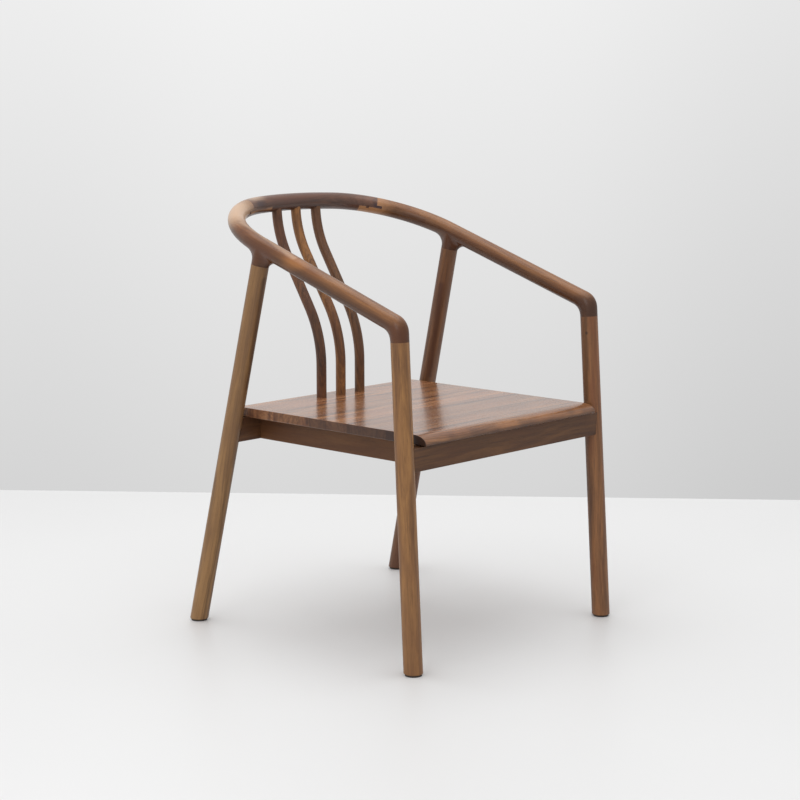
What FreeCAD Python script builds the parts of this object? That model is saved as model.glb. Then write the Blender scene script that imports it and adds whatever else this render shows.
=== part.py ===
import FreeCAD, Part
import math
import os
import Sketcher
from collections import namedtuple
from FreeCAD import Placement, Rotation, Vector

# Horseshoe back armchair in solid walnut, built as the separate pieces it is joined from.
# Millimetres, +Z up. The chair faces -Y and is even about the plane X = 0.
# Left and right are as seen from the front, so left pieces have negative X.
# The origin lies on the floor, midway between the foremost and the rearmost point.

SIZES = (
    # the seat
    ("seat_height", 430, "floor to the top of the seat"),
    ("seat_width", 492, "side to side"),
    ("seat_depth", 489, "nose to rear edge"),
    ("seat_thickness", 18, "boards, planed"),
    ("nose_lead", 1, "nose ahead of the front foot axis"),
    ("board_count", 5, "boards glued edge to edge"),
    ("nose_depth", 28, "length over which the front edge rolls down"),
    ("nose_height", 15, "height of that roll"),
    ("seat_corner_radius", 10, "rear corners of the seat"),
    ("seat_arris", 1.5, "chamfer under the outer edges of the seat"),
    ("seat_edge_round", 1.2, "soft upper edges of the seat"),
    # the posts, given by points on their axes
    ("front_foot_out", 31, "front foot axis outside the seat's side edge"),
    ("rear_foot_out", 41, "rear foot axis outside the seat's side edge"),
    ("rear_foot_behind", 77, "rear foot axis behind the seat's rear edge"),
    ("elbow_out", 26, "elbow corner outside the seat's side edge"),
    ("elbow_back", 39, "elbow corner behind the front foot axis"),
    ("elbow_height", 625, "elbow corner above the floor"),
    ("knuckle_out", 21.2, "knuckle outside the seat's side edge"),
    ("knuckle_ahead", 98.5, "knuckle ahead of the seat's rear edge"),
    ("knuckle_height", 745, "knuckle above the floor"),
    ("leg_top_diameter", 34, "post where it meets the rail"),
    ("leg_foot_diameter", 35.4, "post at the floor"),
    ("leg_foot_chamfer", 1.5, "broken edge round the foot"),
    ("post_tenon_diameter", 18, "round tenon on top of a post"),
    ("post_tenon_length", 20, "round tenon on top of a post"),
    ("pad_thickness", 3, "pad under the foot"),
    ("pad_inset", 2.5, "pad edge inside the foot's edge"),
    # the horseshoe rail
    ("rail_diameter", 34, "all round the horseshoe"),
    ("crest_behind", 93, "back of the rail's axis behind the seat's rear edge"),
    ("crest_radius", 700, "flat curve of the crest"),
    ("bend_radius", 192, "bend behind each knuckle"),
    ("elbow_drop", 28, "elbow corner to its joint, along post and arm"),
    ("elbow_outer_radius", 32, "outside of the elbow"),
    ("knuckle_drop", 35, "knuckle to its joint, along the post"),
    ("knuckle_fillet", 26, "hollow curve from the rail into the post, all round"),
    ("knuckle_ease", 0.1, "knuckle inside the rail on each side, so that its curve runs all round"),
    ("left_scarf_start", 182, "from the start of the left bend to its lap, along the axis"),
    ("right_scarf_start", 172, "from the start of the right bend to its lap, along the axis"),
    ("scarf_length", 41, "lap of arm and crest, along the bend"),
    ("tongue_thickness", 5.5, "tongue at the end of each upper half"),
    ("tongue_length", 12, "tongue at the end of each upper half"),
    ("pin_width", 6, "square wedge pin through the lap"),
    # the spindles
    ("spindle_count", 3, "round spindles in the back"),
    ("spindle_spacing", 54.5, "axis to axis"),
    ("spindle_diameter", 20, "round all along"),
    ("spindle_inset", 37, "spindle axis in front of the seat's rear edge"),
    ("spindle_foot_rise", 63, "upright stretch above the seat"),
    ("spindle_low_radius", 216, "lower bend, away from the sitter"),
    ("spindle_middle_run", 120, "straight stretch between the bends"),
    ("spindle_high_radius", 182, "upper bend, back towards upright"),
    ("spindle_top_run", 15, "straight stretch that enters the crest"),
    ("spindle_top_lead", 3.5, "spindle end ahead of the crest's axis"),
    ("spindle_top_rest", 4, "spindle end below the crest's axis"),
    ("spindle_tenon_diameter", 14, "round tenon into the seat"),
    ("spindle_tenon_length", 14, "round tenon into the seat"),
    # the aprons under the seat
    ("apron_height", 46, "all four aprons"),
    ("apron_thickness", 22, "all four aprons"),
    ("apron_edge_round", 1.5, "soft lower edges"),
    ("front_apron_lead", 4, "front apron ahead of the post axis"),
    ("front_shadow_gap", 2.5, "front apron below the underside of the seat"),
    ("side_apron_inset", 46, "middle of a side apron inside the seat's side edge"),
    ("apron_tenon_thickness", 9, "tenons at the apron ends"),
    ("apron_tenon_height", 30, "tenons at the apron ends"),
    ("post_tenon_reach", 6, "apron tenon past the post axis"),
    ("side_tenon_length", 12, "side apron tenon into front and rear aprons"),
    # the corner blocks and their screws
    ("block_leg", 56, "corner block along each apron"),
    ("block_tip", 12, "blunt tips of a corner block"),
    ("block_height", 32, "corner block"),
    ("screw_offset", 30, "apron screws from the corner"),
    ("screw_stagger", 7, "apron screws above and below the block's middle"),
    ("seat_screw_offset", 13, "seat screw from the corner, both ways"),
    ("screw_grip", 18, "wood between the screw head and the joint"),
    ("screw_length", 32, "under the head"),
    ("screw_point", 5, "tapered point"),
    ("screw_diameter", 4, "shank"),
    ("screw_head_diameter", 8, "head"),
    ("screw_head_height", 3, "head"),
    ("bore_gap", 1, "head recess wider than the head, all round"),
    # fits
    ("glue_gap", 0.15, "room for glue round a tenon, a tongue or a coped end"),
    ("socket_spare", 1, "socket deeper than its tenon"),
    ("overrun", 10, "how far a cut runs past the wood"),
    ("rounding", 0.01, "two lengths this close count as equal"),
)

doc = FreeCAD.newDocument("HorseshoeArmchair")
sheet = doc.addObject("Spreadsheet::Sheet", "Sizes")
for row, (alias, number, note) in enumerate(SIZES, start=1):
    sheet.set(f"A{row}", alias)
    sheet.set(f"B{row}", str(number))
    sheet.set(f"C{row}", note)
    sheet.setAlias(f"B{row}", alias)
doc.recompute()


def value(expression):
    """The number that an expression on the sheet's cells gives."""
    return float(sheet.evalExpression(expression))


S = {alias: value("Sizes." + alias) for alias, _, _ in SIZES}
SIDES = {"left": -1, "right": 1}
UP = Vector(0, 0, 1)
ACROSS = Vector(1, 0, 0)
BACKWARD = Vector(0, 1, 0)


# Helpers for places

def unit(vector):
    return Vector(vector).normalize()


def frame(origin, along_x, along_z):
    """A placement whose Z axis is along_z, with its X axis as near to along_x as it can be."""
    return Placement(origin, Rotation(along_x, Vector(), along_z, "ZXY"))


def at(*point):
    return Placement(Vector(*point), Rotation())


def axis_at(post, height):
    """The point of a post's axis at a height above the floor."""
    return post.foot + (post.corner - post.foot) * (height / post.corner.z)


# Helpers for features

def new_body(name, place):
    body = doc.addObject("PartDesign::Body", name)
    body.Label = name
    body.Placement = place
    return body


def attach(feature, body, place):
    """Attaches a sketch or a primitive to the body's own XY plane, at a place in the chair."""
    plane = next(item for item in body.Origin.OriginFeatures if item.Role == "XY_Plane")
    feature.AttachmentSupport = [(plane, "")]
    feature.MapMode = "FlatFace"
    feature.AttachmentOffset = body.Placement.inverse() * place


def new_sketch(body, name, place):
    sketch = body.newObject("Sketcher::SketchObject", name)
    attach(sketch, body, place)
    return sketch


def circle(sketch, diameter):
    """A circle about the sketch's origin, its diameter an expression on the sheet."""
    edge = sketch.addGeometry(Part.Circle(Vector(), UP, value(diameter) / 2))
    sketch.addConstraint(Sketcher.Constraint("Coincident", edge, 3, -1, 1))
    rule = sketch.addConstraint(Sketcher.Constraint("Diameter", edge, value(diameter)))
    sketch.setExpression(f"Constraints[{rule}]", diameter)


def ellipse(sketch, along_x, along_y):
    """An ellipse about the sketch's origin, or a circle where its two half axes are equal."""
    if near(along_x, along_y):
        sketch.addGeometry(Part.Circle(Vector(), UP, along_y))
    else:
        sketch.addGeometry(Part.Ellipse(Vector(along_x, 0), Vector(0, along_y), Vector()))


def rectangle(sketch, width, height):
    """A rectangle about the sketch's origin, its sides expressions on the sheet."""
    half_width = value(width) / 2
    half_height = value(height) / 2
    corners = [Vector(-half_width, -half_height), Vector(half_width, -half_height),
               Vector(half_width, half_height), Vector(-half_width, half_height)]
    bottom, right, top, left = outline(sketch, corners)
    for edge in (bottom, top):
        sketch.addConstraint(Sketcher.Constraint("Horizontal", edge))
    for edge in (right, left):
        sketch.addConstraint(Sketcher.Constraint("Vertical", edge))
    sketch.addConstraint(Sketcher.Constraint("Symmetric", bottom, 1, top, 1, -1, 1))
    wide = sketch.addConstraint(Sketcher.Constraint("DistanceX", bottom, 1, bottom, 2, 2 * half_width))
    sketch.setExpression(f"Constraints[{wide}]", width)
    high = sketch.addConstraint(Sketcher.Constraint("DistanceY", right, 1, right, 2, 2 * half_height))
    sketch.setExpression(f"Constraints[{high}]", height)


def outline(sketch, corners):
    """A closed outline of straight edges."""
    edges = []
    for start, end in zip(corners, corners[1:] + corners[:1]):
        edges.append(sketch.addGeometry(Part.LineSegment(start, end)))
    join(sketch, edges + edges[:1])
    return edges


def join(sketch, edges):
    """Ties the end of each edge to the start of the next."""
    for edge, following in zip(edges, edges[1:]):
        sketch.addConstraint(Sketcher.Constraint("Coincident", edge, 2, following, 1))


def extrude(body, kind, name, sketch, length, side="One side", reverse=False):
    """A pad or a pocket, its length an expression on the sheet or a worked-out number."""
    feature = body.newObject("PartDesign::" + kind, name)
    feature.Profile = sketch
    if isinstance(length, str):
        feature.setExpression("Length", length)
    else:
        feature.Length = length
    feature.SideType = side
    feature.Reversed = reverse


def primitive(body, kind, name, place, **sizes):
    """An additive or subtractive primitive whose sizes are expressions on the sheet."""
    feature = body.newObject("PartDesign::" + kind, name)
    attach(feature, body, place)
    for size, expression in sizes.items():
        feature.setExpression(size, expression)
    return feature


def box(body, kind, name, low, high):
    """A box between two corners of the chair, which may be given in any order."""
    corner = Vector(min(low.x, high.x), min(low.y, high.y), min(low.z, high.z))
    feature = primitive(body, kind + "Box", name, Placement(corner, Rotation()))
    feature.Length = abs(high.x - low.x)
    feature.Width = abs(high.y - low.y)
    feature.Height = abs(high.z - low.z)


def block_at(body, kind, name, place, length, width, height):
    """A box that starts at the place, runs along its X, and is centred on its Y and Z."""
    centred = place * at(0, -value(width) / 2, -value(height) / 2)
    primitive(body, kind + "Box", name, centred, Length=length, Width=width, Height=height)


def sweep(body, name, profile, path):
    feature = body.newObject("PartDesign::AdditivePipe", name)
    feature.Profile = profile
    feature.Spine = (path, [f"Edge{number + 1}" for number in range(path.GeometryCount)])


def loft(body, name, sections):
    feature = body.newObject("PartDesign::AdditiveLoft", name)
    feature.Profile = sections[0]
    feature.Sections = sections[1:]


def dress(body, kind, name, size, wanted):
    """A fillet or chamfer on the edges whose start, middle and end, in the chair, pass the test."""
    doc.recompute()
    base = body.Tip
    names = []
    for number, edge in enumerate(base.Shape.Edges, start=1):
        ends = [vertex.Point for vertex in edge.Vertexes]
        middle = edge.valueAt((edge.FirstParameter + edge.LastParameter) / 2)
        if wanted([body.Placement.multVec(point) for point in (ends[0], middle, ends[-1])]):
            names.append(f"Edge{number}")
    feature = body.newObject("PartDesign::" + kind, name)
    feature.Base = (base, names)
    feature.setExpression("Radius" if kind == "Fillet" else "Size", size)


def near(first, second):
    """True where two lengths are equal but for rounding."""
    return abs(first - second) < S["rounding"]


# The chair's own frame, worked out from the sheet. Places in its depth are first taken from the
# axis of the front feet.

foot_reach = S["leg_foot_diameter"] / 2
rear_edge = S["seat_depth"] - S["nose_lead"]
knuckle_back = rear_edge - S["knuckle_ahead"]
crest_back = rear_edge + S["crest_behind"]
whole_depth = foot_reach + crest_back + S["rail_diameter"] / 2
front_axis_y = foot_reach - whole_depth / 2


def behind(distance, side, height):
    """A point given by its distance behind the front foot axis, from the middle and up."""
    return Vector(side, front_axis_y + distance, height)


seat_side = S["seat_width"] / 2
side_apron_x = seat_side - S["side_apron_inset"]


def beyond_seat(name):
    """A distance from the middle: the seat's side edge and a named size beyond it."""
    return seat_side + S[name]


# A post's axis runs from its foot to a corner on the rail's axis, and the post stops short of that
# corner by the drop, which is the name of a size.
Post = namedtuple("Post", "foot corner drop sign")
posts = {}
for side, sign in SIDES.items():
    elbow = behind(S["elbow_back"], sign * beyond_seat("elbow_out"), S["elbow_height"])
    knuckle = behind(knuckle_back, sign * beyond_seat("knuckle_out"), S["knuckle_height"])
    posts[f"front_{side}"] = Post(behind(0, sign * beyond_seat("front_foot_out"), 0),
                                  elbow, "elbow_drop", sign)
    posts[f"rear_{side}"] = Post(behind(rear_edge + S["rear_foot_behind"],
                                        sign * beyond_seat("rear_foot_out"), 0),
                                 knuckle, "knuckle_drop", sign)

seat_under = S["seat_height"] - S["seat_thickness"]
seat_front_y = front_axis_y - S["nose_lead"]
seat_rear_y = front_axis_y + rear_edge

# The rail lies in one plane, which holds both elbows and both knuckles.
rail_slope = math.atan2(S["knuckle_height"] - S["elbow_height"], knuckle_back - S["elbow_back"])
rail_frame = Placement(behind(S["elbow_back"], 0, S["elbow_height"]),
                       Rotation(ACROSS, math.degrees(rail_slope)))
rail_radius = S["rail_diameter"] / 2


def in_plane(point):
    return rail_frame.inverse().multVec(point)


# The centre line on the right: the arm, a bend and the flat curve of the crest, all tangent.
arm_start = in_plane(posts["front_right"].corner)
arm_way = unit(in_plane(posts["rear_right"].corner) - arm_start)
arm_inward = Vector(-arm_way.y, arm_way.x)
crest_reach = (crest_back - S["elbow_back"]) / math.cos(rail_slope)
crest_centre = Vector(0, crest_reach - S["crest_radius"])
bend_line = arm_start + arm_inward * S["bend_radius"] - crest_centre
bend_along = bend_line.dot(arm_way)
centre_span = S["crest_radius"] - S["bend_radius"]
arm_length = math.sqrt(bend_along ** 2 - bend_line.dot(bend_line) + centre_span ** 2) - bend_along
bend_centre = crest_centre + bend_line + arm_way * arm_length
bend_start = math.atan2(-arm_inward.y, -arm_inward.x)
bend_end = math.atan2(bend_centre.y - crest_centre.y, bend_centre.x)

# Each lap runs from its outer angle, nearest the arm, to its inner angle, nearest the crest.
lap_turn = S["scarf_length"] / S["bend_radius"]
tongue_turn = S["tongue_length"] / S["bend_radius"]
lap_outer = {name: bend_start + S[name + "_scarf_start"] / S["bend_radius"] for name in SIDES}
lap_inner = {name: angle + lap_turn for name, angle in lap_outer.items()}


def mirrored(point, sign):
    return Vector(sign * point.x, point.y, point.z)


def on_arc(centre, radius, angle, sign=1):
    return mirrored(centre + Vector(math.cos(angle), math.sin(angle)) * radius, sign)


def arc_between(centre, radius, start, end, sign=1):
    return Part.Arc(on_arc(centre, radius, start, sign),
                    on_arc(centre, radius, (start + end) / 2, sign),
                    on_arc(centre, radius, end, sign))


def crest_point(side):
    """The point of the crest's axis at a distance from the middle, in the chair."""
    rise = math.sqrt(S["crest_radius"] ** 2 - side ** 2)
    return rail_frame.multVec(crest_centre + Vector(side, rise))


def bend_frame(angle, sign):
    """A place on the bend: X runs along the rail towards the crest, Y across it, Z out of its plane."""
    towards_crest = mirrored(Vector(-math.sin(angle), math.cos(angle)), sign)
    local = frame(on_arc(bend_centre, S["bend_radius"], angle, sign), towards_crest, UP)
    return rail_frame * local


# The scarf joints. Going round from the left arm, each piece laps over the next one, and the
# upper half ends in a tongue that fills a slot in the lower piece.

def lap_end(shoulder, tip, over):
    """The angle at which a piece stops: at the tip of its half, or past it by the tongue."""
    way = 1 if tip > shoulder else -1
    return tip + way * tongue_turn if over else tip


def cut_zone(body, name, side, first, last, level, depth, upward):
    """Cuts the rail between two angles of a bend, from a level of its plane up or down."""
    sketch = new_sketch(body, f"{name}Plan_{side}", rail_frame * at(0, 0, level))
    inner = S["bend_radius"] - S["rail_diameter"]
    outer = S["bend_radius"] + S["rail_diameter"]
    corners = ((inner, first), (outer, first), (outer, last), (inner, last))
    outline(sketch, [on_arc(bend_centre, radius, angle, SIDES[side]) for radius, angle in corners])
    extrude(body, "Pocket", f"{name}_{side}", sketch, depth, reverse=upward)


def cut_lap(body, side, shoulder, tip, over):
    """Leaves one half of the rail between shoulder and tip: the upper one if over is true."""
    way = 1 if tip > shoulder else -1
    past = lap_end(shoulder, tip, over) + way * S["overrun"] / S["bend_radius"]
    cut_zone(body, "Lap", side, shoulder, past, 0, "Sizes.rail_diameter", not over)
    if over:
        top = S["tongue_thickness"] - S["glue_gap"]
        cut_zone(body, "Tongue", side, tip, past, top, "Sizes.rail_diameter", True)
    else:
        room = (S["tongue_length"] + S["glue_gap"]) / S["bend_radius"]
        cut_zone(body, "Slot", side, shoulder - way * room, tip, 0, "Sizes.tongue_thickness", True)
    start = pin_frame(side) * at(-rail_radius - S["overrun"], 0, 0)
    width = "Sizes.pin_width + 2 * Sizes.glue_gap"
    block_at(body, "Subtractive", f"PinSlot_{side}", start,
             "Sizes.rail_diameter + 2 * Sizes.overrun", width, width)


def pin_frame(side):
    """The middle of a lap, with X across the rail."""
    middle = (lap_outer[side] + lap_inner[side]) / 2
    return bend_frame(middle, SIDES[side]) * Placement(Vector(), Rotation(UP, 90))


# The crest rail

def spindle_offsets():
    """How far to the right of the middle each spindle stands."""
    middle = (S["spindle_count"] - 1) / 2
    return [S["spindle_spacing"] * (number - middle) for number in range(int(S["spindle_count"]))]


def make_crest_rail():
    body = new_body("crest_rail", rail_frame)
    path = new_sketch(body, "CrestPath", rail_frame)
    ends = {side: lap_end(lap_inner[side], lap_outer[side], side == "right") for side in SIDES}
    edges = [arc_between(bend_centre, S["bend_radius"], ends["right"], bend_end),
             arc_between(crest_centre, S["crest_radius"], bend_end, math.pi - bend_end),
             arc_between(bend_centre, S["bend_radius"], bend_end, ends["left"], -1)]
    for edge in edges:
        path.addGeometry(edge)
    square = Placement(Vector(), Rotation(BACKWARD, 90))
    profile = new_sketch(body, "CrestRound", bend_frame(ends["right"], 1) * square)
    circle(profile, "Sizes.rail_diameter")
    sweep(body, "CrestSweep", profile, path)
    for side in SIDES:
        cut_lap(body, side, lap_inner[side], lap_outer[side], side == "right")
    for number, offset in enumerate(spindle_offsets()):
        top, way = spindle_top(offset)
        floor = top + way * S["glue_gap"]
        primitive(body, "SubtractiveCylinder", f"SpindleSocket{number}", frame(floor, ACROSS, way * -1),
                  Radius="Sizes.spindle_diameter / 2 + Sizes.glue_gap", Height="Sizes.rail_diameter")
    return body


# The two arm rails, each with its elbow, its knuckle and one half of a scarf joint

ELBOW_SHARES = (0, 0.12, 0.26, 0.4, 0.5, 0.6, 0.74, 0.88, 1)


def make_knuckle(body, post):
    """A stub along the post, run into the rail by a hollow curve all round and cut at the joint."""
    corner = post.corner
    down = unit(post.foot - corner)
    joint = corner + down * S["knuckle_drop"]
    stub_radius = rail_radius - S["knuckle_ease"]
    primitive(body, "AdditiveCylinder", "KnuckleStub", frame(corner, ACROSS, down),
              Radius="Sizes.rail_diameter / 2 - Sizes.knuckle_ease",
              Height="Sizes.knuckle_drop + Sizes.knuckle_fillet")

    def meets_rail(points):
        return all(near(point.distanceToLine(corner, down), stub_radius)
                   and (point - joint).dot(down) < 0 for point in points)

    dress(body, "Fillet", "KnuckleCurve", "Sizes.knuckle_fillet", meets_rail)
    primitive(body, "SubtractiveCylinder", "KnuckleEnd", frame(joint, ACROSS, down),
              Radius="Sizes.rail_diameter", Height="Sizes.knuckle_fillet + Sizes.overrun")
    return Placement(joint, Rotation(UP, down * -1))


def make_elbow(body, post, back):
    """The turn from the arm, which runs off backward, down on to the post: oval sections lofted
    about a pivot inside the turn, flat where they meet the arm and the post."""
    corner = post.corner
    down = unit(post.foot - corner)
    half = back.getAngle(down) / 2
    pivot = corner + unit(back + down) * (S["elbow_drop"] / math.cos(half))
    turn = math.pi - 2 * half
    inner = S["elbow_drop"] * math.tan(half) - rail_radius
    outer = inner + S["rail_diameter"]
    arm_side = unit(corner + back * S["elbow_drop"] - pivot)
    arc_centre = (outer - S["elbow_outer_radius"]) / math.cos(turn / 2)
    arc_from = math.atan((outer - S["elbow_outer_radius"]) * math.tan(turn / 2) / outer)

    def reach(angle):
        """The outside of the elbow, measured from the pivot."""
        if arc_from < angle < turn - arc_from:
            off = angle - turn / 2
            level = arc_centre * math.sin(off)
            return arc_centre * math.cos(off) + math.sqrt(S["elbow_outer_radius"] ** 2 - level ** 2)
        return outer / math.cos(min(angle, turn - angle))

    sections = []
    for number, share in enumerate(ELBOW_SHARES):
        angle = share * turn
        outward = arm_side * math.cos(angle) - back * math.sin(angle)
        onward = arm_side * -math.sin(angle) - back * math.cos(angle)
        half_axis = (reach(angle) - inner) / 2
        middle = pivot + outward * (inner + half_axis)
        section = new_sketch(body, f"ElbowSection{number}", frame(middle, outward, onward))
        ellipse(section, half_axis, rail_radius)
        sections.append(section)
    loft(body, "Elbow", sections)
    return Placement(corner + down * S["elbow_drop"], Rotation(UP, down * -1))


def make_arm_rail(side):
    sign = SIDES[side]
    over = side == "left"
    body = new_body(f"{side}_arm_rail", rail_frame)
    path = new_sketch(body, "ArmPath", rail_frame)
    begin = arm_start + arm_way * S["elbow_drop"]
    turn_in = on_arc(bend_centre, S["bend_radius"], bend_start)
    end = lap_end(lap_outer[side], lap_inner[side], over)
    path.addGeometry(Part.LineSegment(mirrored(begin, sign), mirrored(turn_in, sign)))
    path.addGeometry(arc_between(bend_centre, S["bend_radius"], bend_start, end, sign))
    across = Vector(arm_inward.x * sign, arm_inward.y)
    profile = new_sketch(body, "ArmRound",
                         rail_frame * frame(mirrored(begin, sign), across, mirrored(arm_way, sign)))
    circle(profile, "Sizes.rail_diameter")
    sweep(body, "ArmSweep", profile, path)
    front, rear = posts[f"front_{side}"], posts[f"rear_{side}"]
    joints = {"Rear": make_knuckle(body, rear),
              "Front": make_elbow(body, front, unit(rear.corner - front.corner))}
    cut_lap(body, side, lap_outer[side], lap_inner[side], over)
    for name, joint in joints.items():
        primitive(body, "SubtractiveCylinder", f"{name}PostSocket", joint,
                  Radius="Sizes.post_tenon_diameter / 2 + Sizes.glue_gap",
                  Height="Sizes.post_tenon_length + Sizes.socket_spare")
    return body


def make_scarf_pins():
    """One square pin across each lap, its ends flush with the round rail."""
    half_length = math.sqrt(rail_radius ** 2 - (S["pin_width"] / 2) ** 2)
    pins = []
    for side in SIDES:
        pin = Part.makeBox(2 * half_length, S["pin_width"], S["pin_width"])
        centred = at(-half_length, -S["pin_width"] / 2, -S["pin_width"] / 2)
        pins.append(pin.transformed((pin_frame(side) * centred).toMatrix()))
    return new_group("scarf_pins", pins)


def new_group(name, solids):
    """Separate solids that share one node."""
    group = doc.addObject("Part::Feature", name)
    group.Label = name
    group.Shape = Part.makeCompound(solids)
    return group


# The posts

apron_middle = seat_under - S["apron_height"] / 2


def post_frame(post):
    return frame(post.foot, ACROSS, unit(post.corner - post.foot))


def post_length(post):
    return (post.corner - post.foot).Length - S[post.drop]


def post_cone(body, kind, name, post, extra="0"):
    """The tapered post, from below the floor up to its joint with the rail."""
    cone = primitive(body, kind + "Cone", name, post_frame(post) * at(0, 0, -S["overrun"]),
                     Radius1=f"Sizes.leg_foot_diameter / 2 + {extra}",
                     Radius2=f"Sizes.leg_top_diameter / 2 + {extra}")
    cone.Height = post_length(post) + S["overrun"]


def post_tenon(body, kind, name, post, middle_y, room):
    """An apron's tenon in a post, or its mortise with room all round."""
    axis = axis_at(post, apron_middle)
    half_thickness = S["apron_tenon_thickness"] / 2 + room
    half_height = S["apron_tenon_height"] / 2 + room
    inner = axis.x - post.sign * (S["leg_foot_diameter"] / 2 + S["overrun"])
    outer = axis.x + post.sign * (S["post_tenon_reach"] + room)
    box(body, kind, name, Vector(inner, middle_y - half_thickness, apron_middle - half_height),
        Vector(outer, middle_y + half_thickness, apron_middle + half_height))


def make_post(name, apron_y):
    post = posts[name]
    body = new_body(f"{name}_leg", post_frame(post))
    post_cone(body, "Additive", "Shaft", post)
    floor_cut = new_sketch(body, "FloorPlan", at(post.foot.x, post.foot.y, S["pad_thickness"]))
    rectangle(floor_cut, "3 * Sizes.leg_foot_diameter", "3 * Sizes.leg_foot_diameter")
    extrude(body, "Pocket", "FloorCut", floor_cut, "Sizes.leg_foot_diameter + Sizes.overrun")
    dress(body, "Chamfer", "FootEdge", "Sizes.leg_foot_chamfer",
          lambda points: all(near(point.z, S["pad_thickness"]) for point in points))
    primitive(body, "AdditiveCylinder", "TopTenon", post_frame(post) * at(0, 0, post_length(post)),
              Radius="Sizes.post_tenon_diameter / 2", Height="Sizes.post_tenon_length")
    post_tenon(body, "Subtractive", "ApronMortise", post, apron_y, S["glue_gap"])
    return body


def make_foot_pad(name):
    centre = axis_at(posts[name], S["pad_thickness"])
    body = new_body(f"{name}_foot_pad", at(centre.x, centre.y, 0))
    disc = new_sketch(body, "Disc", body.Placement)
    circle(disc, "Sizes.leg_foot_diameter - 2 * Sizes.pad_inset")
    extrude(body, "Pad", "Felt", disc, "Sizes.pad_thickness")
    return body


# The aprons

front_apron_y = axis_at(posts["front_right"], apron_middle).y - S["front_apron_lead"]
rear_apron_y = axis_at(posts["rear_right"], apron_middle).y
front_inside_y = front_apron_y + S["apron_thickness"] / 2
rear_inside_y = rear_apron_y - S["apron_thickness"] / 2
side_inside = side_apron_x - S["apron_thickness"] / 2


def round_lower_edges(body, along):
    """Softens the two long lower edges of an apron that runs along X or Y."""
    def wanted(points):
        start, _, end = points
        return near(start.z, seat_under - S["apron_height"]) and near((end - start).cross(along).Length, 0)

    dress(body, "Fillet", "LowerEdges", "Sizes.apron_edge_round", wanted)


def side_tenon(body, kind, name, side_x, face_y, way, room):
    """A side apron's tenon into the apron at face_y, or its mortise with room all round."""
    half_thickness = S["apron_tenon_thickness"] / 2 + room
    half_height = S["apron_tenon_height"] / 2 + room
    start = face_y - way * S["overrun"]
    end = face_y + way * (S["side_tenon_length"] + room)
    box(body, kind, name, Vector(side_x - half_thickness, start, apron_middle - half_height),
        Vector(side_x + half_thickness, end, apron_middle + half_height))


def make_cross_apron(depth, middle_y, inside_y, way, height, top):
    """The front or rear apron, coped round the posts and tenoned into them.

    way is the direction from the inside of the seat frame through this apron.
    """
    pair = {side: posts[f"{depth}_{side}"] for side in SIDES}
    body = new_body(f"{depth}_apron", at(0, middle_y, top - value(height) / 2))
    section = new_sketch(body, "Section", frame(body.Placement.Base, BACKWARD, ACROSS))
    rectangle(section, "Sizes.apron_thickness", height)
    extrude(body, "Pad", "Plank", section, 2 * axis_at(pair["right"], apron_middle).x, side="Symmetric")
    round_lower_edges(body, ACROSS)
    # the copes come before the tenons, which reach through them
    for side, post in pair.items():
        post_cone(body, "Subtractive", f"Cope_{side}", post, "Sizes.glue_gap")
    for side, post in pair.items():
        post_tenon(body, "Additive", f"Tenon_{side}", post, middle_y, 0)
        side_tenon(body, "Subtractive", f"SideMortise_{side}", post.sign * side_apron_x,
                   inside_y, way, S["glue_gap"])
    pilot_holes(body, way)
    return body


def make_side_apron(side):
    sign = SIDES[side]
    middle = Vector(sign * side_apron_x, (front_inside_y + rear_inside_y) / 2, apron_middle)
    body = new_body(f"{side}_side_apron", at(*middle))
    section = new_sketch(body, "Section", frame(middle, ACROSS, BACKWARD * -1))
    rectangle(section, "Sizes.apron_thickness", "Sizes.apron_height")
    extrude(body, "Pad", "Plank", section, rear_inside_y - front_inside_y, side="Symmetric")
    round_lower_edges(body, BACKWARD)
    side_tenon(body, "Additive", "FrontTenon", middle.x, front_inside_y, -1, 0)
    side_tenon(body, "Additive", "RearTenon", middle.x, rear_inside_y, 1, 0)
    pilot_holes(body, 0, sign)
    return body


# The corner blocks and the screws through them

CORNERS = {f"{depth}_{side}": (sign, way) for depth, way in (("front", -1), ("rear", 1))
           for side, sign in SIDES.items()}
block_middle = seat_under - S["block_height"] / 2


def corner_point(sign, way):
    return Vector(sign * side_inside, front_inside_y if way < 0 else rear_inside_y, block_middle)


def screw_places(sign, way):
    """Where the three screws of a corner have the underside of their heads, and which way they go."""
    corner = corner_point(sign, way)
    inward = Vector(-sign, 0, 0)
    away = Vector(0, -way, 0)
    lift = UP * S["screw_stagger"]
    offset = S["screw_offset"]
    grip = S["screw_grip"]
    cross = corner + inward * offset + away * grip + lift
    along = corner + away * offset + inward * grip - lift
    seat = corner + (inward + away) * S["seat_screw_offset"]
    seat.z = seat_under - grip
    return {"cross": frame(cross, ACROSS, away * -1), "side": frame(along, BACKWARD, inward * -1),
            "seat": frame(seat, ACROSS, UP)}


def pilot(body, name, place):
    """The hole that a screw fills in the piece behind its block."""
    primitive(body, "SubtractiveCylinder", name, place,
              Radius="Sizes.screw_diameter / 2 + Sizes.glue_gap",
              Height="Sizes.screw_length + Sizes.socket_spare")


def pilot_holes(body, way, sign=0):
    """Pilots in a cross apron (way given) or in a side apron (sign given)."""
    for name, (corner_sign, corner_way) in CORNERS.items():
        places = screw_places(corner_sign, corner_way)
        if way == corner_way:
            pilot(body, f"Pilot_{name}", places["cross"])
        if sign == corner_sign:
            pilot(body, f"Pilot_{name}", places["side"])


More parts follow.
